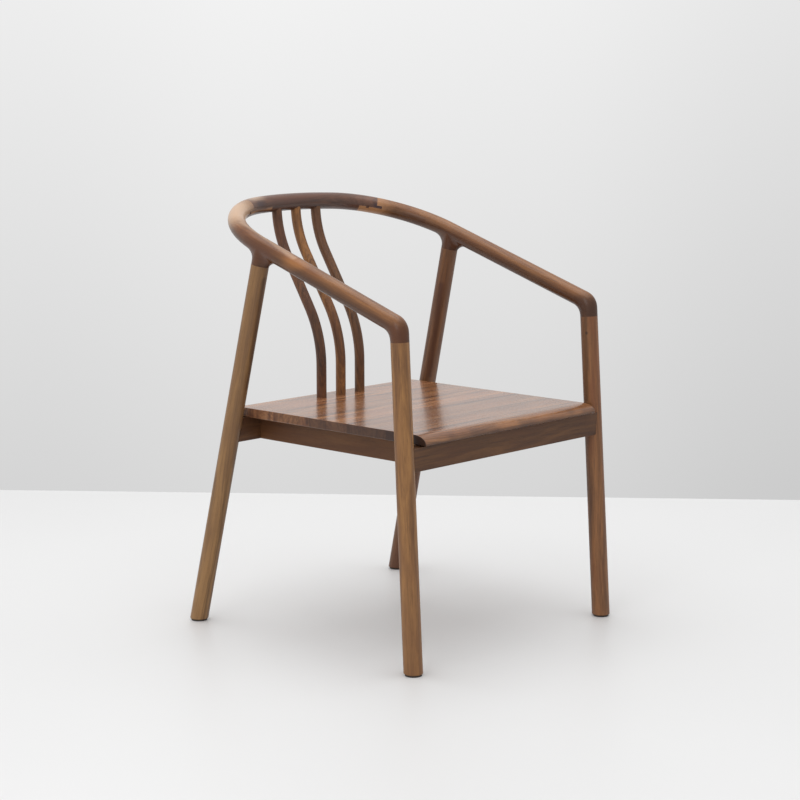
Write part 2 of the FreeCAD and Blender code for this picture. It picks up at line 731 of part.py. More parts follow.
def make_corner_block(name, sign, way):
    corner = corner_point(sign, way)
    body = new_body(f"{name}_corner_block", frame(corner, Vector(-sign, 0, 0), UP))
    plan = new_sketch(body, "Plan", Placement(corner, Rotation()))
    leg = S["block_leg"]
    tip = S["block_tip"]
    shape = ((0, 0), (leg, 0), (leg, tip), (tip, leg), (0, leg))
    outline(plan, [Vector(-sign * along, -way * across) for along, across in shape])
    extrude(body, "Pad", "Block", plan, "Sizes.block_height", side="Symmetric")
    for use, place in screw_places(sign, way).items():
        pilot(body, f"Shank_{use}", place)
        recess = place * at(0, 0, -S["block_leg"])
        primitive(body, "SubtractiveCylinder", f"HeadRecess_{use}", recess,
                  Radius="Sizes.screw_head_diameter / 2 + Sizes.bore_gap", Height="Sizes.block_leg")
    return body


def make_screw():
    """One wood screw, its head's underside at the origin and its point up."""
    body = new_body("wood_screw", Placement())
    profile = new_sketch(body, "HalfProfile", frame(Vector(), ACROSS, BACKWARD * -1))
    shank = S["screw_diameter"] / 2
    head = S["screw_head_diameter"] / 2
    taper = S["screw_length"] - S["screw_point"]
    outline(profile, [Vector(0, -S["screw_head_height"]), Vector(shank, -S["screw_head_height"]),
                      Vector(head, 0), Vector(shank, 0), Vector(shank, taper),
                      Vector(0, S["screw_length"])])
    lathed = body.newObject("PartDesign::Revolution", "Lathed")
    lathed.Profile = profile
    lathed.ReferenceAxis = (profile, ["V_Axis"])
    doc.recompute()
    return body


def make_screws(name, screw, uses):
    """One screw at each corner for each of its uses there."""
    screws = []
    for sign, way in CORNERS.values():
        places = screw_places(sign, way)
        screws += [screw.Shape.transformed(places[use].toMatrix()) for use in uses]
    return new_group(name, screws)


# The seat boards

def board_name(number):
    if number == 0:
        return "front_seat_board"
    if number == int(S["board_count"]) - 1:
        return "rear_seat_board"
    return f"seat_board_{number + 1}"


def nose_outline(section, front, rear):
    """The front board's section: its upper front edge is a quarter of an ellipse."""
    top = S["seat_height"]
    centre = Vector(front + S["nose_depth"], top - S["nose_height"])
    curve = Part.Ellipse(centre + Vector(S["nose_depth"], 0), centre + Vector(0, S["nose_height"]), centre)
    points = [Vector(front, centre.y), Vector(front, seat_under), Vector(rear, seat_under),
              Vector(rear, top), Vector(centre.x, top)]
    edges = [section.addGeometry(Part.LineSegment(*pair)) for pair in zip(points, points[1:])]
    nose = section.addGeometry(Part.ArcOfEllipse(curve, math.pi / 2, math.pi))
    join(section, edges + [nose] + edges[:1])


def outer_edges(level):
    """A test for a board's edges at a level that lie on the rim of the seat."""
    def wanted(points):
        start, _, end = points
        if not all(near(point.z, level) for point in points):
            return False
        if near(start.x, end.x):
            return near(abs(start.x), seat_side)
        if near(start.y, end.y):
            return near(start.y, seat_front_y) or near(start.y, seat_rear_y)
        return True

    return wanted


def make_seat_board(number):
    width = S["seat_depth"] / int(S["board_count"])
    front = seat_front_y + number * width
    rear = front + width
    body = new_body(board_name(number), Placement())
    section = new_sketch(body, "Section", frame(Vector(), BACKWARD, ACROSS))
    if number == 0:
        nose_outline(section, front, rear)
    else:
        outline(section, [Vector(front, seat_under), Vector(rear, seat_under),
                          Vector(rear, S["seat_height"]), Vector(front, S["seat_height"])])
    extrude(body, "Pad", "Board", section, "Sizes.seat_width", side="Symmetric")
    if near(rear, seat_rear_y):
        dress(body, "Fillet", "RearCorners", "Sizes.seat_corner_radius",
              lambda points: all(near(point.y, rear) for point in points)
              and not near(points[0].z, points[-1].z))
    dress(body, "Chamfer", "LowerArris", "Sizes.seat_arris", outer_edges(seat_under))
    dress(body, "Fillet", "UpperEdges", "Sizes.seat_edge_round", outer_edges(S["seat_height"]))

    def reached_by(point, radius):
        return front - radius < point.y < rear + radius

    for name, (sign, way) in CORNERS.items():
        place = screw_places(sign, way)["seat"]
        if reached_by(place.Base, S["screw_diameter"] / 2):
            pilot(body, f"Pilot_{name}", place)
    for index, offset in enumerate(spindle_offsets()):
        foot = spindle_foot(offset)
        if reached_by(foot, S["spindle_tenon_diameter"] / 2):
            bottom = foot - UP * (S["spindle_tenon_length"] + S["glue_gap"])
            primitive(body, "SubtractiveCylinder", f"SpindleMortise{index}", at(*bottom),
                      Radius="Sizes.spindle_tenon_diameter / 2 + Sizes.glue_gap",
                      Height="Sizes.spindle_tenon_length + Sizes.overrun")
    return body


# The spindles

def spindle_foot(offset):
    return Vector(offset, seat_rear_y - S["spindle_inset"], S["seat_height"])


def turned(vector, angle):
    """A vector turned about X, from back towards up."""
    return Rotation(ACROSS, math.degrees(angle)).multVec(vector)


def halfway(centre, first, last):
    """The point of an arc midway between two of its points."""
    return centre + unit(first + last - centre * 2) * (first - centre).Length


def spindle_course(offset):
    """The axis of a spindle as points back and up from the seat: three lines joined by two arcs."""
    foot = spindle_foot(offset)
    low = S["spindle_low_radius"]
    middle = S["spindle_middle_run"]
    high = S["spindle_high_radius"]
    run = S["spindle_top_run"]
    end = crest_point(offset) - BACKWARD * S["spindle_top_lead"] - UP * S["spindle_top_rest"] - foot
    start = UP * S["spindle_foot_rise"]
    # the lower bend has its centre behind the spindle, the upper one in front of it
    low_centre = start + BACKWARD * low
    to_end = end - low_centre
    span = math.hypot(low + high, middle)
    end_reach = math.hypot(high, run)
    cosine = (span ** 2 + to_end.Length ** 2 - end_reach ** 2) / (2 * span * to_end.Length)
    high_centre = low_centre + turned(unit(to_end), math.acos(cosine)) * span
    spoke = turned(unit(high_centre - low_centre), math.atan2(middle, low + high))
    low_end = low_centre + spoke * low
    high_start = high_centre - spoke * high
    leave = end + turned(unit(high_centre - end), math.acos(run / end_reach)) * run
    return ((Vector(), start), (start, halfway(low_centre, start, low_end), low_end),
            (low_end, high_start),
            (high_start, halfway(high_centre, high_start, leave), leave), (leave, end))


def spindle_top(offset):
    """The upper end of a spindle's axis in the chair, and its way there."""
    leave, end = spindle_course(offset)[-1]
    return spindle_foot(offset) + end, unit(end - leave)


def make_spindle(name, offset):
    foot = spindle_foot(offset)
    body = new_body(name, at(*foot))
    path = new_sketch(body, "Course", frame(foot, BACKWARD, ACROSS))
    for points in spindle_course(offset):
        flat = [Vector(point.y, point.z) for point in points]
        path.addGeometry(Part.LineSegment(*flat) if len(flat) == 2 else Part.Arc(*flat))
    profile = new_sketch(body, "Round", body.Placement)
    circle(profile, "Sizes.spindle_diameter")
    sweep(body, "Bent", profile, path)
    primitive(body, "AdditiveCylinder", "Tenon", frame(foot, ACROSS, UP * -1),
              Radius="Sizes.spindle_tenon_diameter / 2", Height="Sizes.spindle_tenon_length")
    return body


def spindle_names():
    count = int(S["spindle_count"])
    if count == 3:
        return ["left_spindle", "centre_spindle", "right_spindle"]
    return [f"spindle_{number + 1}" for number in range(count)]


# Build every piece

apron_ys = {"front": front_apron_y, "rear": rear_apron_y}
pieces = [make_crest_rail()]
pieces += [make_arm_rail(side) for side in SIDES]
pieces.append(make_scarf_pins())
for name in posts:
    pieces.append(make_post(name, apron_ys[name.split("_")[0]]))
    pieces.append(make_foot_pad(name))
pieces.append(make_cross_apron("front", front_apron_y, front_inside_y, -1,
                               "Sizes.apron_height - Sizes.front_shadow_gap",
                               seat_under - S["front_shadow_gap"]))
pieces.append(make_cross_apron("rear", rear_apron_y, rear_inside_y, 1, "Sizes.apron_height", seat_under))
pieces += [make_side_apron(side) for side in SIDES]
pieces += [make_corner_block(name, sign, way) for name, (sign, way) in CORNERS.items()]
pieces += [make_seat_board(number) for number in range(int(S["board_count"]))]
pieces += [make_spindle(name, offset) for name, offset in zip(spindle_names(), spindle_offsets())]
wood_screw = make_screw()
pieces.append(make_screws("apron_screws", wood_screw, ("cross", "side")))
pieces.append(make_screws("seat_screws", wood_screw, ("seat",)))
doc.recompute()


# Check the features, then write one file for each piece

def check_features(body):
    """Stops if a feature failed, or if one that should cut or add wood did nothing."""
    before = 0
    for feature in body.Group:
        if not feature.isDerivedFrom("PartDesign::Feature"):
            continue
        after = feature.Shape.Volume
        if abs(after - before) < S["rounding"] ** 2 * S["overrun"]:
            raise ValueError(f"{body.Label}: {feature.Name} changes nothing")
        before = after


for item in doc.Objects:
    if "Invalid" in item.State or "Error" in item.State:
        raise ValueError(f"{item.Label} failed: {item.State}")
for piece in pieces:
    if piece.isDerivedFrom("PartDesign::Body"):
        check_features(piece)
    if piece.Shape.isNull() or not piece.Shape.isValid():
        raise ValueError(f"{piece.Label} has no valid shape")

os.makedirs("parts", exist_ok=True)
for piece in pieces:
    piece.Shape.exportStep(f"parts/{piece.Label}.step")
    print(f"{piece.Label}: {len(piece.Shape.Solids)} solid(s), {piece.Shape.Volume / 1000:.1f} cm3")
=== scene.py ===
import math
import bpy
from mathutils import Matrix, Vector

# Looks of a horseshoe back armchair in oiled walnut. Metres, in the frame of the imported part:
# +Z up, the chair faces -Y, left pieces have negative X.

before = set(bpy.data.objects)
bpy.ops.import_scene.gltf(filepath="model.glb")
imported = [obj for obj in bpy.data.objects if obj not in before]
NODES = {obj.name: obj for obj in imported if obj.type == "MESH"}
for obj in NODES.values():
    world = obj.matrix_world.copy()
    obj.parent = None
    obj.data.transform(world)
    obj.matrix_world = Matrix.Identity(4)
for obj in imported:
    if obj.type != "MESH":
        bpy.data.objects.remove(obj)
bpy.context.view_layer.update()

SIDES = {"left": -1, "right": 1}
DEPTHS = {"front": -1, "rear": 1}


# Colours

def linear(*screen):
    """A colour as a screen shows it, 0 to 255, as the shader's own numbers."""
    parts = [part / 255 for part in screen]
    return tuple(((part + 0.055) / 1.055) ** 2.4 if part > 0.04045 else part / 12.92
                 for part in parts) + (1.0,)


def tones(light, dark, red, shade=1.0):
    """The light, dark and red tone of a piece of timber, each times shade."""
    return [linear(*(shade * part for part in tone)) for tone in (light, dark, red)]


def dimmed(colour, amount):
    return tuple(amount * part for part in colour[:3]) + (1.0,)


# Node trees

class Tree:
    """The nodes of a material or a world, with short ways to add more. place is the point in the
    frame of the part, turned is that point with X along the grain of a piece of timber, and
    heading is the way that a ray takes into the world."""

    def __init__(self, owner):
        owner.use_nodes = True
        self.owner = owner
        self.nodes = owner.node_tree.nodes
        self.links = owner.node_tree.links
        self.nodes.clear()
        coordinates = self.add("TexCoord").outputs
        self.place = coordinates["Object"]
        self.heading = coordinates["Generated"]
        self.turned = None

    def add(self, kind, inputs=None, **settings):
        """A new node. Its inputs go by name or number, each with a socket or a plain value."""
        node = self.nodes.new("ShaderNode" + kind)
        for name, setting in settings.items():
            setattr(node, name, setting)
        for key, source in (inputs or {}).items():
            if isinstance(source, bpy.types.NodeSocket):
                self.links.new(source, node.inputs[key])
            else:
                node.inputs[key].default_value = source
        return node

    def turn(self, grain, side, pith, seed):
        """Sets turned: X runs along the grain, moved by seed, and Y and Z across it, from the
        pith, with Y to the side."""
        across = (side - grain * side.dot(grain)).normalized()
        rotation = Matrix((grain, across, grain.cross(across))).to_euler()
        location = (seed, -pith[0], -pith[1])
        self.turned = self.add("Mapping", {"Vector": self.place, "Rotation": rotation,
                                           "Location": location}).outputs[0]

    def math(self, operation, *values):
        return self.add("Math", dict(enumerate(values)), operation=operation).outputs[0]

    def product(self, first, *others):
        for other in others:
            first = self.math("MULTIPLY", first, other)
        return first

    def total(self, base, *shares):
        """base, and then each number times its share, added up."""
        for number, share in shares:
            base = self.math("ADD", base, self.math("MULTIPLY", number, share))
        return base

    def vector(self, operation, *values):
        """A vector, or a number where the operation gives one."""
        node = self.add("VectorMath", dict(enumerate(values)), operation=operation)
        gives_number = operation in ("DISTANCE", "DOT_PRODUCT", "LENGTH")
        return node.outputs["Value" if gives_number else "Vector"]

    def axes(self, vector):
        """The X, Y and Z of a vector, by name."""
        return self.add("SeparateXYZ", {"Vector": vector}).outputs

    def noise(self, vector, scale, detail=3.0, roughness=0.5):
        inputs = {"Vector": vector, "Scale": scale, "Detail": detail, "Roughness": roughness}
        return self.add("TexNoise", inputs).outputs["Fac"]

    def patches(self, vector, along, across, detail=3.0, roughness=0.5):
        """Noise with so many patches to the metre along X, and so many along Y and Z."""
        stretched = self.vector("MULTIPLY", vector, (along, across, across))
        return self.noise(stretched, 1.0, detail, roughness)

    def bands(self, number, scale, detail=3.0, roughness=0.6):
        """Noise that follows one number only."""
        inputs = {"W": number, "Scale": scale, "Detail": detail, "Roughness": roughness}
        return self.add("TexNoise", inputs, noise_dimensions="1D").outputs["Fac"]

    def ramp(self, number, low, high, shape="SMOOTHSTEP"):
        """From 0 at low to 1 at high, where low may be the larger."""
        inputs = {"Value": number, "From Min": low, "From Max": high}
        return self.add("MapRange", inputs, interpolation_type=shape).outputs[0]

    def lay(self, tone, colour, *amounts):
        """tone over colour, by the amounts times each other."""
        inputs = {0: self.product(*amounts), 6: colour, 7: tone}
        return self.add("Mix", inputs, data_type="RGBA").outputs[2]

    def between(self, amount, first, second):
        """A number that goes from first to second."""
        inputs = {0: amount, 2: first, 3: second}
        return self.add("Mix", inputs, data_type="FLOAT").outputs[0]

    def show(self, shader, output="OutputMaterial"):
        """Puts the shader on the surface, or in the world, and gives the owner back."""
        self.add(output, {"Surface": shader.outputs[0]})
        return self.owner


# Timber. Patches of its figure to the metre, along the grain and across it, and sizes in metres

WANDER = (3.0, 12.0)
WANDER_REACH = 0.04
CLOUDS = (5.0, 22.0)
FIBRES = (22.0, 620.0)
PORES = (90.0, 1500.0)
MOTTLE_ACROSS = 170.0
RINGS_TO_A_BAND = 6
END_FADE = 0.03
BUMP_DEPTH = 0.00012

# Cosines between which a face turns into end grain, measured from the grain, and into a
# face with painted shade, measured from straight up

END_GRAIN = (0.20, 0.80)
SHADED_UNDERSIDE = (0.75, -0.15)


def walnut(tree, fibre, pores, colours, ring, figure, flame):
    """The colour of walnut: rings about the pith that wander along the grain, in wider bands,
    with mottling, fibres, redder clouds and dark pores."""
    light, dark, red = colours
    axes = tree.axes(tree.turned)
    squares = [tree.math("POWER", axes[name], 2.0) for name in ("Y", "Z")]
    radius = tree.math("SQRT", tree.math("ADD", *squares))
    radius = tree.total(radius, (tree.patches(tree.turned, *WANDER), WANDER_REACH))
    band = tree.bands(radius, 1 / (ring * RINGS_TO_A_BAND), detail=2.0)
    rings = tree.bands(radius, 1 / ring)
    mottle = tree.patches(tree.turned, flame, MOTTLE_ACROSS, roughness=0.55)
    cloud = tree.patches(tree.turned, *CLOUDS)
    shares = ((band, 0.30), (rings, 0.20), (fibre, 0.25), (mottle, figure))
    tone = tree.total(0.0, *shares)
    middle = sum(share for part, share in shares) / 2
    colour = tree.lay(light, dark, tree.ramp(tone, middle - 0.15, middle + 0.13))
    colour = tree.lay(red, colour, tree.ramp(cloud, 0.42, 0.68), 0.7)
    return tree.lay(dark, colour, pores, 0.40)


def wood(name, grain, side, pith, colours, ring=0.0042, figure=0.22, flame=14.0, end_dark=0.5,
         end_from=None, underside_shade=0.0, gloss=0.42, shine=0.4, coat=0.12, polish=0.22, seed=0.0,
         marks=(), over=()):
    """Walnut sawn along grain. side lies across it, and pith is the tree's centre from the origin
    in that cross-section. ring is the width of a ring, figure the strength of the mottling, with
    flame patches to the metre along the grain, and seed moves all of it along the grain. Ends are
    darker by end_dark, only in front of end_from where that is given. underside_shade is painted
    shade that darkens every face not turned up, from the sides round to the undersides. gloss is
    the roughness of the timber, shine its reflection, coat the strength of the oil on it and
    polish the roughness of that. Marks lie beneath the darker ends and the painted shade, or over
    them."""
    tree = Tree(bpy.data.materials.new(name))
    grain = Vector(grain).normalized()
    tree.turn(grain, Vector(side), pith, seed)
    fibre = tree.patches(tree.turned, *FIBRES, roughness=0.6)
    pores = tree.ramp(tree.patches(tree.turned, *PORES, detail=2.0), 0.58, 0.72)
    colour = walnut(tree, fibre, pores, colours, ring, figure, flame)
    for mark in marks:
        colour = mark(tree, colour)

    # end grain soaks up more oil; the same dark tone also serves the painted shade below
    end_and_shade_tone = dimmed(colours[1], 0.30)
    normal = tree.add("NewGeometry").outputs["Normal"]
    facing = tree.math("ABSOLUTE", tree.vector("DOT_PRODUCT", normal, grain))
    end = tree.ramp(facing, *END_GRAIN)
    if end_from is not None:
        forward = tree.axes(tree.place)["Y"]
        end = tree.product(end, tree.ramp(forward, end_from + END_FADE, end_from - END_FADE))
    colour = tree.lay(end_and_shade_tone, colour, end, end_dark)
    # painted shade: faces that don't face up darken towards the dark tone, undersides most
    if underside_shade:
        shaded_underside = tree.ramp(tree.axes(normal)["Z"], *SHADED_UNDERSIDE)
        colour = tree.lay(end_and_shade_tone, colour, shaded_underside, underside_shade)
    for mark in over:
        colour = mark(tree, colour)

    height = tree.math("SUBTRACT", tree.product(fibre, 0.35), pores)
    bump = tree.add("Bump", {"Height": height, "Strength": 0.25, "Distance": BUMP_DEPTH})
    roughness = tree.total(gloss, (fibre, 0.12), (end, 0.3), (pores, 0.15))
    return tree.show(tree.add("BsdfPrincipled", {
        "Base Color": colour, "Roughness": roughness, "Normal": bump.outputs[0],
        "Coat Weight": coat, "Coat Roughness": polish, "Specular IOR Level": shine}))


def dress(material, *names):
    """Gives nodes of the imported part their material."""
    for name in names:
        materials = NODES[name].data.materials
        materials.clear()
        materials.append(material)


# Marks of the timber. Each is a function that lays its tone over the colour of a tree, and fades
# out between EDGE_IN and EDGE_OUT of its size

EDGE_IN = 0.5
EDGE_OUT = 1.5
STREAK_WOBBLE = 0.6
SPOT_WOBBLE = 0.3


def streak(tone, start, end, width, amount):
    """A long thin mark from start to end."""
    run = Vector(end) - Vector(start)

    def mark(tree, colour):
        offset = tree.vector("SUBTRACT", tree.place, start)
        along = tree.vector("DOT_PRODUCT", offset, run / run.length)
        part = tree.ramp(along, 0.0, run.length, "LINEAR")
        gap = tree.vector("DISTANCE", offset, tree.vector("MULTIPLY", run, part))
        gap = tree.total(gap, (tree.noise(tree.place, 45.0), STREAK_WOBBLE * width))
        inside = tree.ramp(gap, EDGE_OUT * width, EDGE_IN * width)
        return tree.lay(linear(*tone), colour, inside, amount)

    return mark


def spot(tone, centre, size, amount):
    """A patch about a point, as far as size each way, with an edge that follows the grain."""
    def mark(tree, colour):
        offset = tree.vector("SUBTRACT", tree.place, centre)
        offset = tree.vector("MULTIPLY", offset, [1 / part for part in size])
        wobble = tree.patches(tree.turned, 30.0, 300.0, detail=2.0)
        gap = tree.total(tree.vector("LENGTH", offset), (wobble, SPOT_WOBBLE))
        return tree.lay(linear(*tone), colour, tree.ramp(gap, EDGE_OUT, EDGE_IN), amount)

    return mark


def seat_lines(tone, fine, low, high, amount, shift):
    """Lines that run from side to side over the seat, fine of them to the metre, bent a little
    and faded here and there. low and high are where the noise turns into a line."""
    def mark(tree, colour):
        bend = tree.patches(tree.place, 2.6, 9.0, detail=2.0)
        depth = tree.total(tree.axes(tree.place)["Y"], (bend, 0.06))
        line = tree.bands(tree.math("ADD", depth, shift), fine)
        fade = tree.ramp(tree.patches(tree.place, 8.0, 40.0, detail=2.0), 0.28, 0.60)
        return tree.lay(linear(*tone), colour, tree.ramp(line, low, high), fade, amount)

    return mark


NOSE_SHIFT = 3.37
NOSE_FROM = -0.258
NOSE_FULL = -0.272


def nose_figure(tree, colour):
    """Dark heartwood that comes and goes along the rolled front edge of the seat."""
    axes = tree.axes(tree.place)
    along = tree.bands(tree.math("ADD", axes["X"], NOSE_SHIFT), 9.0, detail=2.0, roughness=0.5)
    drift = tree.patches(tree.place, 14.0, 60.0, detail=2.0)
    depth = tree.ramp(tree.total(axes["Y"], (drift, 0.03)), NOSE_FROM, NOSE_FULL)
    return tree.lay(linear(58, 38, 32), colour, tree.ramp(along, 0.44, 0.62), depth, 0.45)


# Posts, with a knot in the front right one

WALNUT_TONES = tones((156, 111, 63), (96, 62, 34), (118, 78, 45))
POST_TONES = {
    "front_left": WALNUT_TONES,
    "front_right": tones((146, 98, 57), (86, 54, 31), (118, 68, 38)),
    "rear_left": tones((149, 111, 68), (96, 68, 40), (117, 83, 52)),
    # the rear right post's tones are darker than the rest: painted shade at the back of the chair
    "rear_right": tones((120, 79, 47), (72, 43, 25), (95, 56, 33))}
POST_MARKS = {
    "front_left": [],
    "front_right": [
        spot((40, 24, 16), (0.2562, -0.2595, 0.5657), (0.0028, 0.0028, 0.0036), 0.9),
        streak((70, 46, 26), (0.2560, -0.2570, 0.600), (0.2560, -0.2625, 0.435), 0.0055, 0.65)],
    "rear_left": [
        streak((62, 40, 24), (-0.2689, 0.0964, 0.6835), (-0.2693, 0.1463, 0.4741), 0.007, 0.6)],
    "rear_right": [
        streak((74, 42, 28), (0.2546, 0.1186, 0.634), (0.2628, 0.1588, 0.4405), 0.008, 0.6)]}

for side, sign in SIDES.items():
    name = f"front_{side}"
    dress(wood(f"{name}_post_wood", grain=(-sign * 0.005, 0.039, 0.625), side=(1, 0.3, 0),
               pith=(0.11, 0.05 * sign), colours=POST_TONES[name], seed=1.7 + sign,
               marks=POST_MARKS[name]), f"{name}_leg")
    name = f"rear_{side}"
    dress(wood(f"{name}_post_wood", grain=(-sign * 0.0198, -0.1755, 0.745), side=(0.4, 1, 0),
               pith=(0.09, -0.06 * sign), colours=POST_TONES[name], seed=3.1 + sign,
               marks=POST_MARKS[name]), f"{name}_leg")


# Arms, with painted highlights along their tops and on the left arm's outer side, pale
# sapwood with a painted highlight over it round the left bend, sapwood beside the right seam,
# and dark figure at the knuckles and the elbows

ARM_TONES = tones((146, 98, 56), (88, 50, 26), (116, 68, 36))
ARM_MARKS_AND_HIGHLIGHTS = {
    "left": [
        # painted highlight along the top of the left arm
        streak((176, 132, 96), (-0.268, 0.060, 0.762), (-0.262, -0.200, 0.682), 0.008, 0.45),
        # painted highlight, orange, on the outer side of the left arm
        spot((176, 116, 60), (-0.2790, 0.000, 0.722), (0.012, 0.035, 0.016), 0.45),
        spot((88, 48, 24), (-0.2835, 0.095, 0.738), (0.026, 0.060, 0.028), 0.6),
        streak((92, 54, 34), (-0.2760, 0.150, 0.768), (-0.2860, 0.070, 0.730), 0.013, 0.5),
        spot((92, 50, 24), (-0.2870, -0.262, 0.612), (0.030, 0.030, 0.026), 0.6),
        # painted highlight along the top of the left arm by the bend
        streak((198, 162, 130), (-0.2560, 0.170, 0.789), (-0.2745, 0.010, 0.731), 0.0075, 0.42),
        # pale sapwood round the left bend, with a painted highlight over it
        spot((204, 170, 140), (-0.225, 0.225, 0.815), (0.085, 0.085, 0.042), 0.9)],
    "right": [
        spot((190, 140, 98), (0.170, 0.250, 0.795), (0.060, 0.040, 0.030), 0.62),
        # painted highlight along the top of the right arm
        streak((184, 134, 92), (0.270, 0.150, 0.800), (0.268, -0.160, 0.700), 0.009, 0.5),
        spot((80, 44, 26), (0.2520, 0.085, 0.728), (0.020, 0.035, 0.024), 0.5),
        spot((66, 38, 22), (0.2580, -0.258, 0.616), (0.034, 0.040, 0.028), 0.75)]}

for side, sign in SIDES.items():
    # the arms' sides and undersides get painted shade
    dress(wood(f"{side}_arm_wood", grain=(-sign * 0.0048, 0.3505, 0.12), side=(1, 0, 0.2),
               pith=(0.30 * sign, 0.8), colours=ARM_TONES, end_dark=0.6, end_from=0.17, underside_shade=0.66,
               gloss=0.30, shine=0.3, coat=0.26, polish=0.15, seed=5.3 + sign,
               over=ARM_MARKS_AND_HIGHLIGHTS[side]), f"{side}_arm_rail")


# Crest, with pale sapwood and a painted highlight on its top and a painted warm reflection
# beneath that beside the left seam, dark figure beside its seams, and the pins through them

CREST_MARKS_AND_HIGHLIGHTS = [
    # pale sapwood on the crest's top by the left seam, with a painted highlight over it
    spot((206, 174, 146), (-0.128, 0.275, 0.838), (0.040, 0.030, 0.020), 0.9),
    spot((58, 36, 38), (-0.116, 0.262, 0.813), (0.016, 0.012, 0.007), 0.8),
    # painted warm reflection on the crest's lower inner side by the left seam
    streak((176, 128, 88), (-0.152, 0.2540, 0.7955), (-0.082, 0.2695, 0.8000), 0.0052, 0.75),
    spot((52, 28, 34), (0.186, 0.230, 0.797), (0.014, 0.014, 0.006), 0.9)]

# the crest's sides and underside get painted shade
dress(wood("crest_wood", grain=(1, 0, 0), side=(0, 1, 0.3), pith=(0.16, 0.9),
           colours=tones((114, 75, 55), (68, 41, 29), (98, 56, 39)), end_dark=0.0, underside_shade=0.4,
           gloss=0.34, coat=0.38, polish=0.18, seed=0.4, over=CREST_MARKS_AND_HIGHLIGHTS), "crest_rail")
dress(wood("pin_wood", grain=(0, 1, 0), side=(1, 0, 0), pith=(0.1, 0.9),
           colours=tones((100, 68, 52), (70, 46, 34), (84, 54, 40)), end_dark=0.15, seed=0.9),
      "scarf_pins")


# Spindles

SPINDLE_TONES = {"left": tones((120, 76, 44), (56, 34, 21), (94, 54, 33)),
                 "centre": tones((158, 106, 56), (74, 44, 24), (112, 66, 36)),
                 "right": tones((126, 84, 48), (58, 36, 22), (94, 58, 34))}

for number, (side, colours) in enumerate(SPINDLE_TONES.items()):
    dress(wood(f"{side}_spindle_wood", grain=(0, 0.25, 1), side=(1, 0, 0),
               pith=(0.07 + 0.03 * number, 0.3), colours=colours, coat=0.06, seed=7.0 + number),
          f"{side}_spindle")


# Aprons and corner blocks

APRON_TONES = tones((104, 69, 40), (61, 37, 22), (82, 50, 30))
APRON_GRAINS = {"front_apron": (1, 0, 0), "rear_apron": (1, 0, 0),
                "left_side_apron": (0, 1, 0), "right_side_apron": (0, 1, 0)}

for number, (name, grain) in enumerate(APRON_GRAINS.items()):
    dress(wood(f"{name}_wood", grain, side=(0, 0, 1), pith=(0.30, 0.10), colours=APRON_TONES,
               flame=10.0, shine=0.3, coat=0.0, seed=9.0 + number), name)

for depth, way in DEPTHS.items():
    for side, sign in SIDES.items():
        dress(wood(f"{depth}_{side}_block_wood", grain=(1, -way * sign, 0), side=(0, 0, 1),
                   pith=(0.4, 0.1), colours=WALNUT_TONES, gloss=0.6, coat=0.0,
                   seed=13.0 + sign + 3 * way), f"{depth}_{side}_corner_block")


# Seat boards from the front: how light each is, where its pith lay and how dark its ends are

SEAT_TONES = ((175, 122, 79), (96, 57, 39), (143, 91, 60))
SEAT_MARKS = [
    seat_lines((70, 40, 27), fine=50.0, low=0.42, high=0.72, amount=0.85, shift=4.1),
    seat_lines((192, 145, 108), fine=46.0, low=0.50, high=0.80, amount=0.35, shift=8.7),
    seat_lines((58, 34, 23), fine=190.0, low=0.48, high=0.70, amount=0.5, shift=2.3)]
BOARDS = {"front_seat_board": (0.96, 0.17, 0.95), "seat_board_2": (0.95, -0.19, 0.85),
          "seat_board_3": (1.02, 0.21, 0.8), "seat_board_4": (0.98, -0.16, 0.4),
          "rear_seat_board": (1.03, 0.20, 0.3)}

for number, (name, (shade, heart, end_dark)) in enumerate(BOARDS.items()):
    rolled = name == "front_seat_board"
    marks = SEAT_MARKS + [nose_figure] if rolled else SEAT_MARKS
    # the rolled front board's nose, edges and underside get painted shade
    dress(wood(f"{name}_wood", grain=(1, 0, 0), side=(0, 1, 0), pith=(heart, 0.20 + 0.02 * number),
               colours=tones(*SEAT_TONES, shade), ring=0.0075, figure=0.30, flame=6.0,
               end_dark=end_dark, underside_shade=0.7 if rolled else 0.0, gloss=0.18, coat=0.17, polish=0.12,
               seed=15.0 + 1.3 * number, marks=marks), name)


# Foot pads and screws

def plain(name, colour, roughness, metal, grit, depth):
    """A plain colour with grit: so many specks to the metre, which stand up by depth."""
    tree = Tree(bpy.data.materials.new(name))
    speck = tree.noise(tree.place, grit, roughness=0.6)
    bump = tree.add("Bump", {"Height": speck, "Strength": 0.4, "Distance": depth})
    return tree.show(tree.add("BsdfPrincipled", {
        "Base Color": tree.lay(dimmed(colour, 0.6), colour, tree.ramp(speck, 0.35, 0.7)),
        "Roughness": tree.total(roughness, (speck, 0.2)), "Metallic": metal,
        "Normal": bump.outputs[0]}))


dress(plain("foot_pad_plastic", linear(58, 54, 50), 0.6, metal=0.0, grit=900.0, depth=0.0001),
      *(f"{depth}_{side}_foot_pad" for depth in DEPTHS for side in SIDES))
dress(plain("zinc", linear(186, 184, 178), 0.3, metal=1.0, grit=300.0, depth=0.00005),
      "apron_screws", "seat_screws")


# Where the photograph was taken from

CAMERA_PLACE = Vector((-2.80675, -2.59844, 1.04583))
CAMERA_TURN = math.radians(-47.22)
CAMERA_TILT = math.radians(80.93)
AHEAD = Vector((-math.sin(CAMERA_TURN), math.cos(CAMERA_TURN), 0))
SIDEWAYS = Vector((AHEAD.y, -AHEAD.x, 0))
UP = Vector((0, 0, 1))


def stage_point(forward, right, up):
    """A point so far ahead of the camera and to its right, at a height above the floor."""
    below_camera = Vector((CAMERA_PLACE.x, CAMERA_PLACE.y, 0))
    return below_camera + AHEAD * forward + SIDEWAYS * right + UP * up


# Floor, with how far its corners are ahead of the camera and to its right. The far edge, which
# the photograph shows, is nearer on the right

